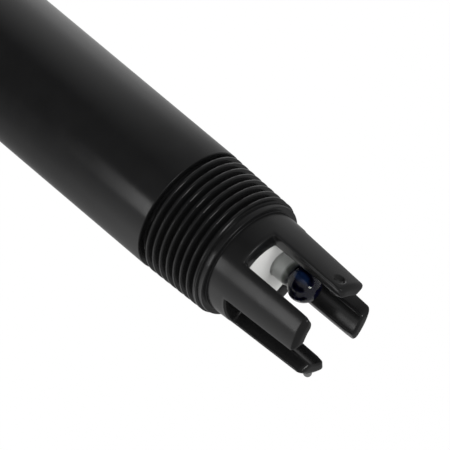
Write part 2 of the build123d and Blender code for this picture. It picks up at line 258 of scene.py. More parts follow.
class GlassSizes(bpy.types.PropertyGroup):
    """Glass half cell and temperature probe."""

    stem_radius: length_prop("Stem radius", "Outside of the glass stem", 0.0028)
    stem_wall: length_prop("Stem wall", "Wall of the glass stem", 0.0008)
    bulb_wall: length_prop("Bulb wall", "Wall of the blown bulb", 0.0003)
    neck_fillet: length_prop("Neck fillet", "Blend of the stem into the bulb", 0.0007)
    wetting: length_prop("Wetting", "Overlap of the solution and the glass", 0.00003)
    lean: length_prop("Lean", "Bulb's middle off the stem's axis", 0.0004)
    stem_end: length_prop("Stem end", "Pale stem ends below the neck", 0.0018)
    band_start: length_prop("Band start", "Dark band starts below the neck", 0.0012)
    # Reach of the painted light: lighter blue on the front of the bulb's solution
    painted_light_reach: bpy.props.FloatVectorProperty(
        name="Glow reach",
        description="Half sizes of the lighter blue on the front of the bulb",
        default=(0.0010, 0.0015, 0.0021),
        subtype="XYZ_LENGTH",
    )
    probe_round: length_prop("Probe round", "Round of the probe's end", 0.0003)
    probe_wall: length_prop("Probe wall", "Wall of the probe's sheath", 0.0004)


class FinishColours(bpy.types.PropertyGroup):
    """Colours of the visible finishes, and of the painted light on the bulb's solution."""

    shell: colour_prop("Shell", "Moulded black plastic", (0.0068, 0.0068, 0.007))
    # Paler grey of the gate nub: torn plastic with a painted highlight
    torn_and_highlight: colour_prop("Torn", "Torn plastic of the gate nub", (0.12, 0.12, 0.12))
    disc: colour_prop("Disc", "Porous white plastic", (0.85, 0.85, 0.83))
    solution: colour_prop("Solution", "Solution in the bulb", (0.001, 0.0012, 0.013))
    # Painted light: lighter blue where the bulb's solution faces the front
    glow: colour_prop("Glow", "Solution lit from the front", (0.016, 0.045, 0.16))
    stem: colour_prop("Stem", "Pale filling of the stem", (0.82, 0.82, 0.8))
    neck: colour_prop("Neck", "Dark band at the neck", (0.2, 0.21, 0.19))


class StageSettings(bpy.types.PropertyGroup):
    """Camera, floor and lamps."""

    azimuth: angle_prop("Azimuth", "Camera about the axis", 16.7)
    elevation: angle_prop("Elevation", "Camera above the floor", 27.7)
    roll: angle_prop("Roll", "Axis below the picture's right", 40)
    lens_pixels: number_prop("Focal length", "In pixels of the 450 pixel picture", 7400.0)
    pixels_per_mm: number_prop("Scale", "Pixels for a millimetre at the shoulder", 5.276)
    aim_pixels: bpy.props.FloatVectorProperty(
        name="Aim", description="Pixels right of and below the shoulder", size=2, default=(34.7, 14.1)
    )
    floor_size: length_prop("Floor", "Side of the floor", 4.0)
    floor_glow: number_prop("Floor glow", "Share of the floor's white that shadows leave", 0.9)
    room_level: number_prop("Room", "Level of the room's soft light", 1.1)
    room_shine: number_prop("Room shine", "Level of the room in reflections", 0.35)
    key_power: power_prop("Key power", "Overhead softbox", 1.55)
    key_place: bpy.props.FloatVectorProperty(
        name="Key place", description="Its middle", default=(-0.12, -0.33, 0.9), subtype="TRANSLATION"
    )
    key_size: length_prop("Key size", "Side of that softbox", 0.22)
    band_power: power_prop("Band power", "Low softbox that the guard reflects", 0.42)
    band_reach: length_prop("Band reach", "From the axis to that softbox", 0.413)
    band_angle: angle_prop("Band angle", "Its place about the axis", -33)
    band_size: bpy.props.FloatVectorProperty(
        name="Band size", description="Its length and width", size=2, default=(0.14, 0.16), unit="LENGTH"
    )
    floor_middle: length_prop("Floor middle", "Where both sides are alike", 0.22)
    floor_tilt: number_prop("Floor tilt", "How much brighter the right side gets outwards", 28.0)


def deselect():
    """Leave edit mode and clear the selection."""
    if bpy.context.object and bpy.context.object.mode != "OBJECT":
        bpy.ops.object.mode_set(mode="OBJECT")
    bpy.ops.object.select_all(action="DESELECT")


def make_active(piece):
    """Select one piece alone."""
    deselect()
    piece.select_set(True)
    bpy.context.view_layer.objects.active = piece


def start_edit(kind, action):
    """Enter edit mode for one kind of element, with all or none selected."""
    bpy.ops.object.mode_set(mode="EDIT")
    bpy.ops.mesh.select_mode(type=kind)
    bpy.ops.mesh.select_all(action=action)


def outline_object(name, points, closed):
    """Object whose edges follow an outline of radius and height pairs in the XZ plane."""
    deselect()
    bpy.ops.mesh.primitive_circle_add(vertices=len(points), radius=1, fill_type="NOTHING")
    piece = bpy.context.object
    piece.name = name
    piece.data.name = name
    marks = piece.data.attributes.new("row", "INT", "POINT")
    for vertex, (radius, height) in zip(piece.data.vertices, points):
        vertex.co = (radius, 0, height)
        marks.data[vertex.index].value = vertex.index
    if not closed:
        ends = {0, len(points) - 1}
        bpy.ops.object.mode_set(mode="EDIT")
        bpy.ops.mesh.select_mode(type="EDGE")
        shape = bmesh.from_edit_mesh(piece.data)
        for edge in shape.edges:
            edge.select_set({vertex.index for vertex in edge.verts} == ends)
        bpy.ops.mesh.delete(type="EDGE")
        bpy.ops.object.mode_set(mode="OBJECT")
    return piece


def spin_piece(name, points, closed=True, steps=COLUMNS):
    """Solid spun about Z from an outline of radius and height pairs."""
    piece = outline_object(name, points, closed)
    start_edit("VERT", "SELECT")
    bpy.ops.mesh.spin(steps=steps, angle=2 * math.pi, center=(0, 0, 0), axis=(0, 0, 1))
    bpy.ops.mesh.select_all(action="SELECT")
    bpy.ops.mesh.remove_doubles(threshold=MERGE_DISTANCE)
    bpy.ops.mesh.delete_loose()
    bpy.ops.mesh.select_all(action="SELECT")
    bpy.ops.mesh.normals_make_consistent(inside=False)
    bpy.ops.object.mode_set(mode="OBJECT")
    return piece


def shift_piece(piece, x):
    """Move a piece's mesh along X in edit mode."""
    make_active(piece)
    bpy.ops.object.mode_set(mode="EDIT")
    bpy.ops.mesh.select_all(action="SELECT")
    bpy.ops.transform.translate(value=(x, 0, 0))
    bpy.ops.object.mode_set(mode="OBJECT")


def keep_piece(piece, slot, material, *nodes):
    """Finish a piece: smooth shading, material and body, and hide the nodes it stands for. The slot is not
    used.
    """
    make_active(piece)
    bpy.ops.object.shade_smooth_by_angle(angle=SMOOTH_ANGLE)
    for mark in {"row", "column", "bevel_weight_edge"} & set(piece.data.attributes.keys()):
        piece.data.attributes.remove(piece.data.attributes[mark])
    piece.data.materials.clear()
    piece.data.materials.append(material)
    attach(piece, ROOT)
    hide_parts(*nodes)


def apply_modifier(piece, kind, **settings):
    """Add one modifier to a piece, set it and apply it."""
    make_active(piece)
    bpy.ops.object.modifier_add(type=kind)
    modifier = piece.modifiers[-1]
    for key, value in settings.items():
        setattr(modifier, key, value)
    bpy.ops.object.modifier_apply(modifier=modifier.name)


def quarter_round(centre, radius, start, steps):
    """Points of a quarter circle of radius and height pairs, turning left from a start angle."""
    points = []
    for step in range(steps + 1):
        turn = start + math.pi / 2 * step / steps
        points.append((centre[0] + radius * math.cos(turn), centre[1] + radius * math.sin(turn)))
    return points


def new_finish(name):
    """Empty node material with its principled shader."""
    material = bpy.data.materials.new(name)
    material.use_nodes = True
    return material, material.node_tree.nodes["Principled BSDF"]


def object_place(tree):
    """Object coordinates."""
    return tree.nodes.new("ShaderNodeTexCoord").outputs["Object"]


def feed(tree, socket, value):
    """Give a socket a link from another socket, or a constant."""
    if isinstance(value, bpy.types.NodeSocket):
        tree.links.new(value, socket)
    else:
        socket.default_value = value


def vector_sum(tree, operation, *values):
    """Vector math node of one or two values."""
    node = tree.nodes.new("ShaderNodeVectorMath")
    node.operation = operation
    for socket, value in zip(node.inputs, values):
        feed(tree, socket, value)
    return node


def map_range(tree, value, low, high):
    """Map range node that takes a low and a high value to 0 and 1."""
    node = tree.nodes.new("ShaderNodeMapRange")
    node.inputs["From Min"].default_value = low
    node.inputs["From Max"].default_value = high
    tree.links.new(value, node.inputs["Value"])
    return node


def object_noise(tree, scale, detail=4.0):
    """Noise on Object coordinates."""
    noise = tree.nodes.new("ShaderNodeTexNoise")
    noise.inputs["Scale"].default_value = scale
    noise.inputs["Detail"].default_value = detail
    tree.links.new(object_place(tree), noise.inputs["Vector"])
    return noise.outputs["Fac"]


def spread(tree, source, low, high):
    """Spread a noise over a range."""
    span = map_range(tree, source, NOISE_LOW, NOISE_HIGH)
    span.inputs["To Min"].default_value = low
    span.inputs["To Max"].default_value = high
    return span.outputs["Result"]


def colour_mix(tree, factor, *tones):
    """Mix of two colours by a factor, each a socket or a constant."""
    mix = tree.nodes.new("ShaderNodeMix")
    mix.data_type = "RGBA"
    tree.links.new(factor, mix.inputs["Factor"])
    sockets = [socket for socket in mix.inputs if socket.type == "RGBA"]
    for socket, tone in zip(sockets, tones):
        feed(tree, socket, tone)
    return [socket for socket in mix.outputs if socket.type == "RGBA"][0]


def add_bump(tree, shader, source, strength):
    """Bump from a height value."""
    bump = tree.nodes.new("ShaderNodeBump")
    bump.inputs["Strength"].default_value = strength
    bump.inputs["Distance"].default_value = GRAIN_HEIGHT
    tree.links.new(source, bump.inputs["Height"])
    tree.links.new(bump.outputs["Normal"], shader.inputs["Normal"])


def grained_finish(name, colour, roughness, specular=0.5, metallic=0.0, scale=900.0, bump=0.1, change=0.12):
    """Solid finish with fine grain in its colour, roughness and surface."""
    material, shader = new_finish(name)
    tree = material.node_tree
    noise = object_noise(tree, scale)
    cloud = object_noise(tree, scale / CLOUD_SHARE, CLOUD_DETAIL)
    dark = [channel * (1 - change) for channel in colour]
    light = [min(channel * (1 + change), 1) for channel in colour]
    tree.links.new(colour_mix(tree, cloud, (*dark, 1), (*light, 1)), shader.inputs["Base Color"])
    low, high = roughness * (1 - ROUGHNESS_CHANGE), min(roughness * (1 + ROUGHNESS_CHANGE), 1)
    tree.links.new(spread(tree, cloud, low, high), shader.inputs["Roughness"])
    add_bump(tree, shader, noise, bump)
    shader.inputs["Specular IOR Level"].default_value = specular
    shader.inputs["Metallic"].default_value = metallic
    return material


def tip_height():
    """Height of the guard's tip."""
    scene = bpy.context.scene
    return SHOULDER + scene.electrode_thread.length + scene.electrode_guard.length


def nub_centre():
    """Middle of the gate nub on the guard's tip."""
    guard = bpy.context.scene.electrode_guard
    x = guard.tip_radius * math.cos(guard.nub_angle)
    y = guard.tip_radius * math.sin(guard.nub_angle)
    return Vector((x, y, tip_height() - guard.nub_from_tip))


def shell_plastic():
    """Black moulded plastic of the tube, nose and cap, paler grey round the gate nub: torn plastic with a
    painted highlight.
    """
    name = "moulded_black"
    if name in bpy.data.materials:
        return bpy.data.materials[name]
    colours = bpy.context.scene.electrode_colours
    material = grained_finish(name, colours.shell, 0.21, specular=0.28, scale=2600.0, bump=0.03, change=0.15)
    radius = bpy.context.scene.electrode_guard.nub_radius
    tree = material.node_tree
    distance = vector_sum(tree, "DISTANCE", object_place(tree), nub_centre())
    # Paler grey round the gate nub: torn plastic with a painted highlight
    torn_and_highlight = map_range(tree, distance.outputs["Value"], radius * TORN_AND_HIGHLIGHT_REACH, radius)
    base = tree.nodes["Principled BSDF"].inputs["Base Color"]
    black = base.links[0].from_socket
    tree.links.new(colour_mix(tree, torn_and_highlight.outputs["Result"], black, (*colours.torn_and_highlight, 1)), base)
    return material


def clear_glass():
    """Clear glass of the stem and bulb."""
    material, shader = new_finish("drawn_glass")
    tree = material.node_tree
    ripple = object_noise(tree, scale=260.0, detail=2.0)
    shader.inputs["Base Color"].default_value = GLASS_TINT
    shader.inputs["Transmission Weight"].default_value = 1.0
    shader.inputs["IOR"].default_value = GLASS_IOR
    tree.links.new(spread(tree, ripple, low=0.0, high=0.03), shader.inputs["Roughness"])
    add_bump(tree, shader, ripple, strength=0.02)
    return material


def blue_solution(neck, front):
    """Pale filling in the stem, a dark band at the neck and dark blue in the bulb, with lighter blue painted
    light on its front.
    """
    sizes = bpy.context.scene.electrode_glass
    colours = bpy.context.scene.electrode_colours
    material, shader = new_finish("blue_filling")
    tree = material.node_tree
    place = object_place(tree)
    split = tree.nodes.new("ShaderNodeSeparateXYZ")
    tree.links.new(place, split.inputs["Vector"])
    rise = map_range(tree, split.outputs["Z"], neck - sizes.stem_end, neck)
    ramp = tree.nodes.new("ShaderNodeValToRGB")
    tree.links.new(rise.outputs["Result"], ramp.inputs["Fac"])
    bands = ramp.color_ramp.elements
    bands[0].color = (*colours.stem, 1)
    bands[1].color = (*colours.solution, 1)
    bands.new(1 - sizes.band_start / sizes.stem_end).color = (*colours.neck, 1)

    # Painted light: lighter blue round a point on the bulb's front, fading outwards
    offset = vector_sum(tree, "SUBTRACT", place, front)
    share = vector_sum(tree, "DIVIDE", offset.outputs["Vector"], sizes.painted_light_reach)
    distance = vector_sum(tree, "LENGTH", share.outputs["Vector"])
    glow = map_range(tree, distance.outputs["Value"], *PAINTED_LIGHT_FADE)
    glow.interpolation_type = "SMOOTHSTEP"
    lit = colour_mix(tree, glow.outputs["Result"], ramp.outputs["Color"], (*colours.glow, 1))
    tree.links.new(lit, shader.inputs["Base Color"])
    shader.inputs["Roughness"].default_value = 0.15
    shader.inputs["Specular IOR Level"].default_value = 0.1
    return material


def thread_envelope(height):
    """Largest radius that the relief, taper and land leave at a height."""
    sizes = bpy.context.scene.electrode_thread
    rise = height - SHOULDER
    threaded = sizes.length - sizes.land_length
    radius = CREST_RADIUS - sizes.taper * min(rise, threaded)
    if rise > threaded:
        radius -= sizes.land_depth * min((rise - threaded) / sizes.land_step, 1)
    flank = sizes.relief_radius + (rise - sizes.relief_width) / math.tan(FLANK_ANGLE)
    return min(radius, max(flank, sizes.relief_radius))


def thread_radius(angle, height):
    """Radius of the threaded surface at an angle about the axis and a height."""
    sizes = bpy.context.scene.electrode_thread
    turns = (height - SHOULDER - sizes.first_crest) / sizes.pitch
    turns -= (angle - sizes.first_angle) / (2 * math.pi)
    from_crest = abs(turns - round(turns))
    flank = 0.5 - (sizes.crest_share + sizes.root_share) / 2
    share = min(max((from_crest - sizes.crest_share / 2) / flank, 0), 1)
    share = 0.5 * (share + share * share * (3 - 2 * share))
    left = (SHOULDER + sizes.length - sizes.land_length - height) / sizes.run_out
    fade = min(max(left, 0), 1)
    taper = CREST_RADIUS - sizes.taper * (height - SHOULDER)
    return min(taper - sizes.depth * share * fade, thread_envelope(height))


def nose_rows():
    """Outline of the nose as radius, height and zone, up the outside and back down the inside."""
    thread = bpy.context.scene.electrode_thread
    guard = bpy.context.scene.electrode_guard
    collar = SHOULDER + thread.length
    floor = collar + guard.setback
    tip = collar + guard.length
    seat = floor - guard.throat_length
    rows = [
        (guard.bore_radius, NOSE_FOOT, "core"),
        (guard.spigot_radius, NOSE_FOOT, "core"),
        (guard.spigot_radius, SHOULDER, "core"),
    ]
    threaded = SHOULDER + thread.length - thread.land_length
    count = round((threaded - SHOULDER) / thread.pitch * thread.rows_per_turn)
    for step in range(count + 1):
        height = SHOULDER + (threaded - SHOULDER) * step / count
        rows.append((thread_envelope(height), height, "thread"))
    land = thread_envelope(collar)
    edge = thread.land_round
    rows.append((land, threaded + thread.land_step, "core"))
    rows.append((land, threaded + thread.land_step + guard.hold, "core"))
    curve = quarter_round((land - edge, collar - edge), edge, 0, EDGE_STEPS)
    rows += [(radius, height, "core") for radius, height in curve]
    fillet = guard.root_fillet
    slope = (guard.root_radius - guard.tip_radius) / guard.length
    face_radius = guard.root_radius + fillet
    rows.append((face_radius + guard.hold, collar, "ring"))
    for step in range(EDGE_STEPS + 1):
        turn = math.pi / 2 * step / EDGE_STEPS
        radius = face_radius - fillet * math.sin(turn)
        rows.append((radius, collar + fillet * (1 - math.cos(turn)), "ring"))
    held = fillet + guard.hold
    rows.append((guard.root_radius - slope * held, collar + held, "ring"))
    below = floor - 2 * guard.edge_round
    rows.append((guard.root_radius - slope * (below - collar), below, "ring"))

    rim_foot = tip - guard.rim_round
    for step in range(TINE_ROWS):
        height = floor + (rim_foot - floor) * step / TINE_ROWS
        rows.append((guard.root_radius - slope * (height - collar), height, "outer"))
    rim_radius = guard.root_radius - slope * (rim_foot - collar)
    centre = (rim_radius - guard.rim_round, rim_foot)
    curve = quarter_round(centre, guard.rim_round, 0, RIM_STEPS)
    rows += [(radius, height, "outer") for radius, height in curve]

    mouth_foot = tip - guard.mouth_round
    bell = (guard.mouth_radius - guard.throat_radius) / (tip - floor)
    mouth_radius = guard.throat_radius + bell * (mouth_foot - floor)
    centre = (mouth_radius + guard.mouth_round, mouth_foot)
    curve = quarter_round(centre, guard.mouth_round, math.pi / 2, RIM_STEPS)
    rows += [(radius, height, "inner") for radius, height in curve]
    for step in reversed(range(TINE_ROWS)):
        height = floor + (mouth_foot - floor) * step / TINE_ROWS
        rows.append((guard.throat_radius + bell * (height - floor), height, "inner"))
    rows.append((guard.throat_radius, below, "throat"))
    rows.append((guard.throat_radius, seat, "core"))
    rows.append((guard.bore_radius, seat, "core"))
    return rows


def slot_edge_angle(radius, height):
    """Half the slot's angle at a radius, flared round the corners of the tines' ends."""
    guard = bpy.context.scene.electrode_guard
    over = max(height - (tip_height() - guard.corner_round), 0)
    flare = guard.corner_round - math.sqrt(max(guard.corner_round**2 - over**2, 0))
    half = guard.slot_half
    for _ in range(DRAFT_ROUNDS):
        along = math.sqrt(radius**2 - half**2)
        half = guard.slot_half + (along - guard.root_radius) * math.tan(guard.slot_draft) + flare
    return math.asin(half / radius)


def guard_angle(column, radius, height):
    """Angle of a mesh column, drawn to the slot's edges and even between them."""
    slot = round(column / COLUMNS_PER_SLOT)
    offset = column - slot * COLUMNS_PER_SLOT
    edge = slot_edge_angle(radius, height)
    steps = abs(offset)
    if steps <= SLOT_EDGE:
        turn = edge * steps / SLOT_EDGE
    else:
        even = (steps - SLOT_EDGE - 1) / (COLUMNS_PER_SLOT / 2 - SLOT_EDGE - 1)
        part = EDGE_COLUMN + (1 - EDGE_COLUMN) * even
        turn = edge + (math.pi / SLOT_COUNT - edge) * part
    return slot * 2 * math.pi / SLOT_COUNT + math.copysign(turn, offset)


def in_slot(column):
    """Steps of a column from the middle of its slot."""
    return abs(column - round(column / COLUMNS_PER_SLOT) * COLUMNS_PER_SLOT)


class ELECTRODE_OT_nose(bpy.types.Operator):
    """Model the threaded nose and its four-tine guard"""

    bl_idname = "electrode.nose"
    bl_label = "Nose"

    def execute(self, context):
        rows = nose_rows()
        nose = spin_piece("nose_moulding", [(radius, height) for radius, height, zone in rows])
        self.shape(nose, rows)
        self.cut_slots(nose, rows)
        guard = context.scene.electrode_guard
        bevel = {"limit_method": "WEIGHT", "width": guard.edge_round, "segments": BEVEL_STEPS}
        apply_modifier(nose, "BEVEL", **bevel, use_clamp_overlap=False)
        self.sink_pit(nose)
        self.add_nub(nose)
        keep_piece(nose, "shell_plastic", shell_plastic(), "nose")
        return {"FINISHED"}

    def shape(self, nose, rows):
        """Cut the thread and draw the guard's columns to the slot edges."""
        floor = [zone for _, _, zone in rows].index("outer")
        marks = nose.data.attributes["row"].data
        columns = nose.data.attributes.new("column", "INT", "POINT").data
        floor_radius, floor_height, _ = rows[floor]
        for vertex in nose.data.vertices:
            radius, height, zone = rows[marks[vertex.index].value]
            angle = math.atan2(vertex.co.y, vertex.co.x) % (2 * math.pi)
            column = round(angle / (2 * math.pi) * COLUMNS) % COLUMNS
            columns[vertex.index].value = column
            angle = column / COLUMNS * 2 * math.pi
            if zone == "thread":
                radius = thread_radius(angle, height)
            elif zone == "ring":
                angle = guard_angle(column, floor_radius, floor_height)
            elif zone in {"outer", "inner", "throat"}:
                angle = guard_angle(column, radius, max(height, floor_height))
            vertex.co = (radius * math.cos(angle), radius * math.sin(angle), height)

    def cut_slots(self, nose, rows):
        """Open the slots, wall them and mark their edges for rounding."""
        zones = [zone for _, _, zone in rows]
        outer = [index for index, zone in enumerate(zones) if zone == "outer"]
        inner = [index for index, zone in enumerate(zones) if zone == "inner"][::-1]
        open_rows = set(outer) | set(inner)
        start_edit("FACE", "DESELECT")
        shape, row, column = self.marked(nose)
        for face in shape.faces:
            inside = all(v[row] in open_rows and in_slot(v[column]) <= SLOT_EDGE for v in face.verts)
            face.select_set(inside)
        bpy.ops.mesh.delete(type="FACE")

        bpy.ops.mesh.select_mode(type="EDGE")
        for slot in range(SLOT_COUNT):
            middle = slot * COLUMNS_PER_SLOT
            for side in (-SLOT_EDGE, SLOT_EDGE):
                wall = (middle + side) % COLUMNS
                self.bridge(
                    nose, lambda r, c: c == wall and r in outer, lambda r, c: c == wall and r in inner
                )
        for slot in range(SLOT_COUNT):
            reach = {(slot * COLUMNS_PER_SLOT + step) % COLUMNS for step in range(-SLOT_EDGE, SLOT_EDGE + 1)}
            self.bridge(
                nose, lambda r, c: r == outer[0] and c in reach, lambda r, c: r == inner[0] and c in reach
            )
        bpy.ops.mesh.select_all(action="SELECT")
        bpy.ops.mesh.normals_make_consistent(inside=False)

        bpy.ops.mesh.select_all(action="DESELECT")
        shape, row, column = self.marked(nose)
        chains = (set(outer), set(inner))
        floors = {outer[0], inner[0]}
        for edge in shape.edges:
            ends = [(v[row], v[column]) for v in edge.verts]
            along_wall = all(in_slot(c) == SLOT_EDGE for _, c in ends) and ends[0][1] == ends[1][1]
            on_chain = any(all(r in chain for r, _ in ends) for chain in chains)
            on_floor = all(r in floors and in_slot(c) <= SLOT_EDGE for r, c in ends)
            corner = on_floor and ends[0][0] != ends[1][0] and along_wall
            rim = on_floor and ends[0][0] == ends[1][0]
            edge.select_set((along_wall and on_chain) or corner or rim)
        bpy.ops.transform.edge_bevelweight(value=1)
        bpy.ops.object.mode_set(mode="OBJECT")

    def marked(self, nose):
        """Edit mesh of the nose, with its layers of rows and columns."""
        shape = bmesh.from_edit_mesh(nose.data)
        return shape, shape.verts.layers.int["row"], shape.verts.layers.int["column"]

    def bridge(self, nose, first, second):
        """Bridge two open chains of boundary edges chosen by row and column."""
        bpy.ops.mesh.select_all(action="DESELECT")
        shape, row, column = self.marked(nose)
        for edge in shape.edges:
            if not edge.is_boundary:
                continue
            chosen = any(all(test(v[row], v[column]) for v in edge.verts) for test in (first, second))
            edge.select_set(chosen)
        bpy.ops.mesh.bridge_edge_loops()

    def sink_pit(self, nose):
        """Sink the round gate pit into one tine's outer face."""
        guard = bpy.context.scene.electrode_guard
        slope = (guard.root_radius - guard.tip_radius) / guard.length
        out = Vector((math.cos(guard.pit_angle), math.sin(guard.pit_angle), 0))
        height = tip_height() - guard.pit_from_tip
        centre = out * (guard.tip_radius + slope * guard.pit_from_tip) + Vector((0, 0, height))
        start_edit("FACE", "DESELECT")
        shape = bmesh.from_edit_mesh(nose.data)
        for face in shape.faces:
            near = (face.calc_center_median() - centre).length < PIT_REACH * guard.pit_radius
            face.select_set(near and face.normal.dot(out) > FACING_OUT)
        bpy.ops.mesh.subdivide(number_cuts=PIT_CUTS)
        shape = bmesh.from_edit_mesh(nose.data)
        for vertex in shape.verts:
            if not vertex.select:
                continue
            offset = vertex.co - centre
            across = (offset - out * offset.dot(out)).length / guard.pit_radius
            wall = min(max((1 - across) / guard.pit_blend, 0), 1)
            vertex.co -= out * guard.pit_depth * wall * wall * (3 - 2 * wall)
        bmesh.update_edit_mesh(nose.data)
        bpy.ops.object.mode_set(mode="OBJECT")

    def add_nub(self, nose):
        """Fuse the round gate nub to the opposite tine's corner."""
        guard = bpy.context.scene.electrode_guard
        deselect()
        bpy.ops.mesh.primitive_uv_sphere_add(
            segments=NUB_SEGMENTS,
            ring_count=NUB_SEGMENTS // 2,
            radius=guard.nub_radius,
            location=nub_centre(),
        )
        nub = bpy.context.object
        bpy.ops.object.transform_apply(location=True, rotation=True, scale=True)
        apply_modifier(nose, "BOOLEAN", operation="UNION", object=nub, solver="EXACT")
        bpy.data.objects.remove(nub)


class ELECTRODE_OT_tube(bpy.types.Operator):
    """Model the smooth tube"""

    bl_idname = "electrode.tube"
    bl_label = "Tube"

    def execute(self, context):
        sizes = context.scene.electrode_tube
        edge = sizes.edge_round
        outline = [(sizes.bore_radius, TUBE_FOOT)]
        outline += quarter_round((TUBE_RADIUS - edge, TUBE_FOOT + edge), edge, -math.pi / 2, EDGE_STEPS)
        outline += quarter_round((TUBE_RADIUS - edge, SHOULDER - edge), edge, 0, EDGE_STEPS)
        outline.append((sizes.bore_radius, SHOULDER))
        tube = spin_piece("smooth_tube", outline)
        keep_piece(tube, "shell_plastic", shell_plastic(), "body_tube")
        return {"FINISHED"}


class ELECTRODE_OT_rear_cap(bpy.types.Operator):
    """Model the plain rear cap round the cable inlet"""

    bl_idname = "electrode.rear_cap"
    bl_label = "Rear cap"

    def execute(self, context):
        sizes = context.scene.electrode_tube
        guard = context.scene.electrode_guard
        edge = sizes.edge_round
        outline = [(sizes.inlet_radius, 0)]
        centre = (TUBE_RADIUS - sizes.cap_round, sizes.cap_round)
        outline += quarter_round(centre, sizes.cap_round, -math.pi / 2, END_STEPS)
        outline += quarter_round((TUBE_RADIUS - edge, TUBE_FOOT - edge), edge, 0, EDGE_STEPS)
        outline += [
            (guard.spigot_radius, TUBE_FOOT),
            (guard.spigot_radius, CAP_TOP),
            (sizes.cap_bore, CAP_TOP),
            (sizes.cap_bore, sizes.cap_floor),
            (sizes.inlet_radius, sizes.cap_floor),
        ]
        cap = spin_piece("plain_rear_cap", outline)
        keep_piece(cap, "shell_plastic", shell_plastic(), "rear_cap")
        return {"FINISHED"}


class ELECTRODE_OT_glass(bpy.types.Operator):
    """Model the glass stem and bulb with the blue solution"""

    bl_idname = "electrode.glass"
    bl_label = "Glass half cell"

    def execute(self, context):
        sizes = context.scene.electrode_glass
        centre = BULB_TOP - BULB_RADIUS
        stem = sizes.stem_radius
        bore = stem - sizes.stem_wall
        ball = BULB_RADIUS - sizes.bulb_wall
        outline = [(bore, GLASS_FOOT), (stem, GLASS_FOOT)]
        outline += self.blown(stem, BULB_RADIUS, centre, sizes.neck_fillet)
        outline += self.blown(bore, ball, centre, sizes.neck_fillet)[::-1]
        glass = spin_piece("glass_bulb", outline, steps=GLASS_COLUMNS)
        neck = centre - math.sqrt(ball**2 - bore**2)
        self.place(glass, neck, centre)
        keep_piece(glass, "clear_glass", clear_glass(), "glass_electrode")

        wet = sizes.wetting
        outline = [(0, FILL_FOOT), (bore + wet, FILL_FOOT)]
        outline += self.blown(bore + wet, ball + wet, centre, sizes.neck_fillet)
        fill = spin_piece("blue_fill", outline, closed=False, steps=GLASS_COLUMNS)
        self.place(fill, neck, centre)
        # Middle of the painted light on the bulb's front
        front = (GLASS_X + sizes.lean, -ball, centre)
        keep_piece(fill, "blue_solution", blue_solution(neck, front), "bulb_fill")
        return {"FINISHED"}

    def place(self, piece, neck, centre):
        """Move a piece to the stem's axis and lean its bulb towards the guard's axis."""
        shift_piece(piece, GLASS_X)
        lean = bpy.context.scene.electrode_glass.lean
        for vertex in piece.data.vertices:
            share = min(max((vertex.co.z - neck) / (centre - neck), 0), 1)
            vertex.co.x += lean * share * share * (3 - 2 * share)

    def blown(self, stem, ball, centre, fillet):
        """Outline of a bulb on a stem, blended at the neck, from the stem up to the axis."""
        reach = ball + fillet
        side = stem + fillet
        drop = math.sqrt(reach**2 - side**2)
        meet = math.atan2(-drop, side)
        points = []
        for step in range(NECK_STEPS + 1):
            turn = math.pi + meet * step / NECK_STEPS
            points.append((side + fillet * math.cos(turn), centre - drop + fillet * math.sin(turn)))
        for step in range(1, BALL_STEPS + 1):
            turn = meet + (math.pi / 2 - meet) * step / BALL_STEPS
            points.append((ball * math.cos(turn), centre + ball * math.sin(turn)))
        points[-1] = (0, centre + ball)
        return points


class ELECTRODE_OT_probe(bpy.types.Operator):
    """Model the temperature probe's sheath"""

    bl_idname = "electrode.probe"
    bl_label = "Temperature probe"

    def execute(self, context):
        sizes = context.scene.electrode_glass
        inner = PROBE_RADIUS - sizes.probe_wall
        edge = sizes.probe_round
        outline = [(0, PROBE_TOP - sizes.probe_wall), (inner, PROBE_TOP - sizes.probe_wall)]
        outline += [(inner, PROBE_FOOT), (PROBE_RADIUS, PROBE_FOOT)]
        outline += quarter_round((PROBE_RADIUS - edge, PROBE_TOP - edge), edge, 0, END_STEPS)
        outline.append((0, PROBE_TOP))
        probe = spin_piece("probe_sheath", outline, closed=False, steps=PROBE_COLUMNS)
        shift_piece(probe, PROBE_X)
        steel = grained_finish("probe_steel_finish", (0.6, 0.6, 0.6), 0.3, metallic=1.0, scale=1800.0)
        keep_piece(probe, "probe_steel", steel, "temperature_probe")
        return {"FINISHED"}


class ELECTRODE_OT_inside(bpy.types.Operator):
    """Finish the junction disc and the pieces inside the shell"""

    bl_idname = "electrode.inside"
    bl_label = "Disc and inside"

    def execute(self, context):
        colours = context.scene.electrode_colours
        white = grained_finish("disc_plastic_finish", colours.disc, 0.6, scale=1500.0, change=0.05)
        self.dress(white, "junction_disc")
        for name, nodes, colour, roughness, others in INSIDE:
            self.dress(grained_finish(f"{name}_finish", colour, roughness, **others), *nodes)
        return {"FINISHED"}

    def dress(self, material, *nodes):
        """Give nodes of the frame a material."""
        for node in nodes:
            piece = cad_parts[node]
            piece.data.materials.clear()
            piece.data.materials.append(material)


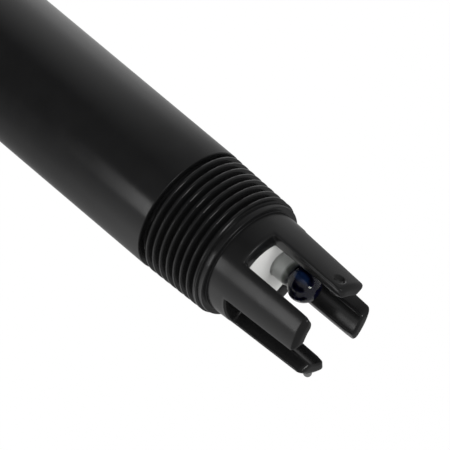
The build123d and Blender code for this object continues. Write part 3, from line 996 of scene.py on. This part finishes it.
class ELECTRODE_OT_stage(bpy.types.Operator):
    """Set up the floor, the lamps and the camera"""

    bl_idname = "electrode.stage"
    bl_label = "Stage"

    def execute(self, context):
        stage = context.scene.electrode_stage
        context.scene.view_settings.view_transform = "Standard"
        self.lay_floor(stage)
        self.light(stage)
        self.aim_camera(context, stage)
        return {"FINISHED"}

    def pale(self, tree):
        """Factor that is 1 for camera rays and for rays through glass."""
        rays = tree.nodes.new("ShaderNodeLightPath").outputs
        return self.sum_up(tree, "MAXIMUM", rays["Is Camera Ray"], rays["Is Transmission Ray"])

    def lay_floor(self, stage):
        """Pale floor that shows white, keeps a faint shadow and is uneven in the shell's reflections."""
        deselect()
        bpy.ops.mesh.primitive_plane_add(size=stage.floor_size, location=(0, 0, -FLOOR_DROP))
        floor = bpy.context.object
        floor.name = "floor"
        material, shader = new_finish("pale_floor")
        tree = material.node_tree
        shader.inputs["Base Color"].default_value = FLOOR_TINT
        shader.inputs["Roughness"].default_value = FLOOR_ROUGHNESS
        glow = tree.nodes.new("ShaderNodeEmission")
        tree.links.new(self.surroundings(tree, stage), glow.inputs["Strength"])
        seen = self.sum_up(tree, "MULTIPLY", self.pale(tree), stage.floor_glow)
        path = tree.nodes.new("ShaderNodeLightPath")
        share = self.sum_up(tree, "MAXIMUM", seen, path.outputs["Is Glossy Ray"])
        mix = tree.nodes.new("ShaderNodeMixShader")
        tree.links.new(share, mix.inputs["Fac"])
        tree.links.new(shader.outputs["BSDF"], mix.inputs[1])
        tree.links.new(glow.outputs["Emission"], mix.inputs[2])
        tree.links.new(mix.outputs["Shader"], tree.nodes["Material Output"].inputs["Surface"])
        floor.data.materials.append(material)

    def sum_up(self, tree, operation, first, second):
        """Result of one sum of two values, each a socket or a number."""
        node = tree.nodes.new("ShaderNodeMath")
        node.operation = operation
        for socket, value in zip(node.inputs, (first, second)):
            feed(tree, socket, value)
        return node.outputs["Value"]

    def surroundings(self, tree, stage):
        """Floor's level: 1 for the camera, and for reflections dark in front, bright to the right."""
        place = object_place(tree)
        split = tree.nodes.new("ShaderNodeSeparateXYZ")
        tree.links.new(place, split.inputs["Vector"])
        angle = self.sum_up(tree, "ARCTAN2", split.outputs["Y"], split.outputs["X"])
        round_share = self.sum_up(tree, "DIVIDE", angle, 2 * math.pi)
        ramp = tree.nodes.new("ShaderNodeValToRGB")
        tree.links.new(self.sum_up(tree, "ADD", round_share, 0.5), ramp.inputs["Fac"])
        stops = ramp.color_ramp.elements
        for stop in stops:
            stop.color = (FLOOR_LEFT, FLOOR_LEFT, FLOOR_LEFT, 1)
        for degrees, level in FLOOR_LEVELS:
            stops.new(degrees / 360 + 0.5).color = (level, level, level, 1)

        reach = vector_sum(tree, "LENGTH", place)
        beyond = self.sum_up(tree, "SUBTRACT", reach.outputs["Value"], stage.floor_middle)
        tilt = self.sum_up(tree, "MULTIPLY", beyond, stage.floor_tilt)
        gain = self.sum_up(tree, "MULTIPLY", tilt, split.outputs["X"])
        gain = self.sum_up(tree, "MAXIMUM", self.sum_up(tree, "ADD", gain, 1), GAIN_LOW)
        gain = self.sum_up(tree, "MINIMUM", gain, GAIN_HIGH)
        level = self.sum_up(tree, "MULTIPLY", gain, ramp.outputs["Color"])

        path = tree.nodes.new("ShaderNodeLightPath")
        choice = tree.nodes.new("ShaderNodeMix")
        choice.inputs["A"].default_value = 1
        tree.links.new(path.outputs["Is Glossy Ray"], choice.inputs["Factor"])
        tree.links.new(level, choice.inputs["B"])
        return choice.outputs["Result"]

    def light(self, stage):
        """Soft white room, one softbox overhead and a low one to the right."""
        world = bpy.data.worlds.new("studio")
        bpy.context.scene.world = world
        world.use_nodes = True
        tree = world.node_tree
        back = tree.nodes["Background"]
        back.inputs["Color"].default_value = (1, 1, 1, 1)
        path = tree.nodes.new("ShaderNodeLightPath")
        change = stage.room_shine - stage.room_level
        shine = self.sum_up(tree, "MULTIPLY", path.outputs["Is Glossy Ray"], change)
        level = self.sum_up(tree, "ADD", shine, stage.room_level)
        level = self.sum_up(tree, "MAXIMUM", level, self.pale(tree))
        tree.links.new(level, back.inputs["Strength"])

        key = self.softbox("key", stage.key_place, stage.key_power)
        key.data.size = stage.key_size
        towards = Vector((0, 0, SHOULDER)) - Vector(stage.key_place)
        key.rotation_euler = towards.to_track_quat("-Z", "Y").to_euler()

        x = stage.band_reach * math.cos(stage.band_angle)
        y = stage.band_reach * math.sin(stage.band_angle)
        band = self.softbox("band", (x, y, BAND_HEIGHT), stage.band_power)
        band.data.shape = "RECTANGLE"
        band.data.size, band.data.size_y = stage.band_size
        band.rotation_euler = (math.pi, 0, stage.band_angle)

    def softbox(self, name, place, power):
        """Area lamp at a place."""
        deselect()
        bpy.ops.object.light_add(type="AREA", location=place)
        lamp = bpy.context.object
        lamp.name = name
        lamp.data.energy = power
        return lamp

    def aim_camera(self, context, stage):
        """Long lens at the photograph's view, rolled so that the tip points down and to the right."""
        turn, tilt = stage.azimuth, stage.elevation
        across = Vector((math.cos(turn), math.sin(turn), 0))
        rise = Vector((-math.sin(turn) * math.sin(tilt), math.cos(turn) * math.sin(tilt), math.cos(tilt)))
        towards = across.cross(rise)
        right = math.cos(stage.roll) * rise - math.sin(stage.roll) * across
        up = -math.sin(stage.roll) * rise - math.cos(stage.roll) * across
        scale = MM_PER_M * stage.pixels_per_mm
        aim_right, aim_down = stage.aim_pixels
        aim = Vector((0, 0, SHOULDER)) + right * (aim_right / scale) - up * (aim_down / scale)
        place = aim + towards * (stage.lens_pixels / scale)
        deselect()
        bpy.ops.object.camera_add()
        camera = bpy.context.object
        axes = Matrix((right, up, towards)).transposed()
        camera.matrix_world = Matrix.Translation(place) @ axes.to_4x4()
        camera.data.sensor_width = SENSOR_WIDTH
        camera.data.lens = SENSOR_WIDTH * stage.lens_pixels / PICTURE_PIXELS
        camera.data.clip_end = CLIP_END
        context.scene.camera = camera


class ELECTRODE_PT_panel(bpy.types.Panel):
    """Buttons for the electrode's pieces and its stage"""

    bl_label = "pH electrode"
    bl_space_type = "VIEW_3D"
    bl_region_type = "UI"
    bl_category = "Electrode"

    def draw(self, context):
        for operator in OPERATORS:
            self.layout.operator(operator.bl_idname)


GROUPS = {
    "electrode_thread": ThreadSizes,
    "electrode_guard": GuardSizes,
    "electrode_tube": TubeSizes,
    "electrode_glass": GlassSizes,
    "electrode_colours": FinishColours,
    "electrode_stage": StageSettings,
}
OPERATORS = (
    ELECTRODE_OT_nose,
    ELECTRODE_OT_tube,
    ELECTRODE_OT_rear_cap,
    ELECTRODE_OT_glass,
    ELECTRODE_OT_probe,
    ELECTRODE_OT_inside,
    ELECTRODE_OT_stage,
)


def register():
    for group in GROUPS.values():
        bpy.utils.register_class(group)
    for name, group in GROUPS.items():
        setattr(bpy.types.Scene, name, bpy.props.PointerProperty(type=group))
    for operator in OPERATORS:
        bpy.utils.register_class(operator)
    bpy.utils.register_class(ELECTRODE_PT_panel)


def unregister():
    bpy.utils.unregister_class(ELECTRODE_PT_panel)
    for operator in reversed(OPERATORS):
        bpy.utils.unregister_class(operator)
    for name in GROUPS:
        delattr(bpy.types.Scene, name)
    for group in reversed(GROUPS.values()):
        bpy.utils.unregister_class(group)


def main():
    register()
    bpy.ops.electrode.nose()
    bpy.ops.electrode.tube()
    bpy.ops.electrode.rear_cap()
    bpy.ops.electrode.glass()
    bpy.ops.electrode.probe()
    bpy.ops.electrode.inside()
    bpy.ops.electrode.stage()


if __name__ == "__main__":
    main()
